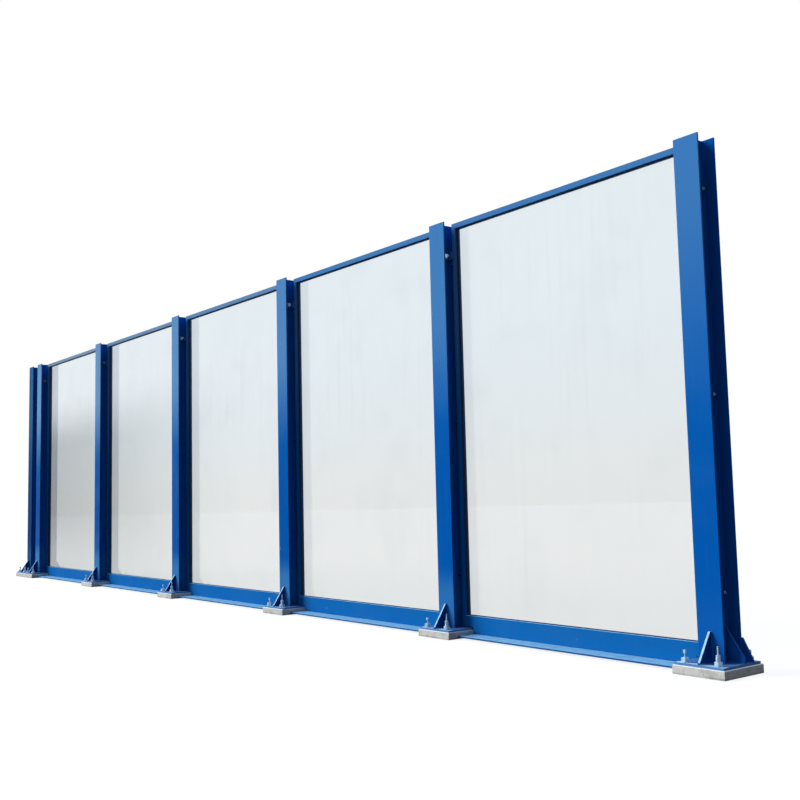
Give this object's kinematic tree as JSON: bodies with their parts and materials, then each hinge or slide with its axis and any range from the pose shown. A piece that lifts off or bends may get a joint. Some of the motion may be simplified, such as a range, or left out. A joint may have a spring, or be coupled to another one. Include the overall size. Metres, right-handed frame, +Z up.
{
  "type": "highway noise barrier",
  "caption": "Transparent roadside noise barrier: clear sheets in painted steel frames held between H-section posts on bolted, stiffened feet.",
  "frame": {"origin": "middle of post 1's footprint, on the underside of its levelling pad", "axes": "+X along the wall out past post 1 (the bays run to -X), +Y away from the road, +Z up; front flanges face -Y"},
  "size_m": [10.62, 0.325, 2.72],
  "materials": {
    "post_paint": "satin blue paint",
    "foot_paint": "satin blue paint",
    "frame_paint": "satin blue paint",
    "clear_sheet": "clear laminated sheet, slightly dusty",
    "gasket_rubber": "matte black",
    "pad_mortar": "cast mortar, slightly rough"
  },
  "bodies": {
    "root": {"post_1": "post_paint", "base_plate_1": "foot_paint", "post_2": "post_paint", "base_plate_2": "foot_paint", "post_3": "post_paint", "base_plate_3": "foot_paint", "post_4": "post_paint", "base_plate_4": "foot_paint", "post_5": "post_paint", "base_plate_5": "foot_paint", "post_6": "post_paint", "base_plate_6": "foot_paint", "post_closing": "post_paint", "base_plate_closing": "foot_paint", "pad_1": "pad_mortar", "pad_2": "pad_mortar", "pad_3": "pad_mortar", "pad_4": "pad_mortar", "pad_5": "pad_mortar", "pad_double": "pad_mortar", "front_gussets": "foot_paint", "end_stiffeners": "foot_paint", "stiles_1": "frame_paint", "top_rail_1": "frame_paint", "bottom_rail_1": "frame_paint", "glass_1": "clear_sheet", "stiles_2": "frame_paint", "top_rail_2": "frame_paint", "bottom_rail_2": "frame_paint", "glass_2": "clear_sheet", "stiles_3": "frame_paint", "top_rail_3": "frame_paint", "bottom_rail_3": "frame_paint", "glass_3": "clear_sheet", "stiles_4": "frame_paint", "top_rail_4": "frame_paint", "bottom_rail_4": "frame_paint", "glass_4": "clear_sheet", "stiles_5": "frame_paint", "top_rail_5": "frame_paint", "bottom_rail_5": "frame_paint", "glass_5": "clear_sheet", "gaskets": "gasket_rubber", "panel_cleats": "post_paint"}
  },
  "joints": []
}
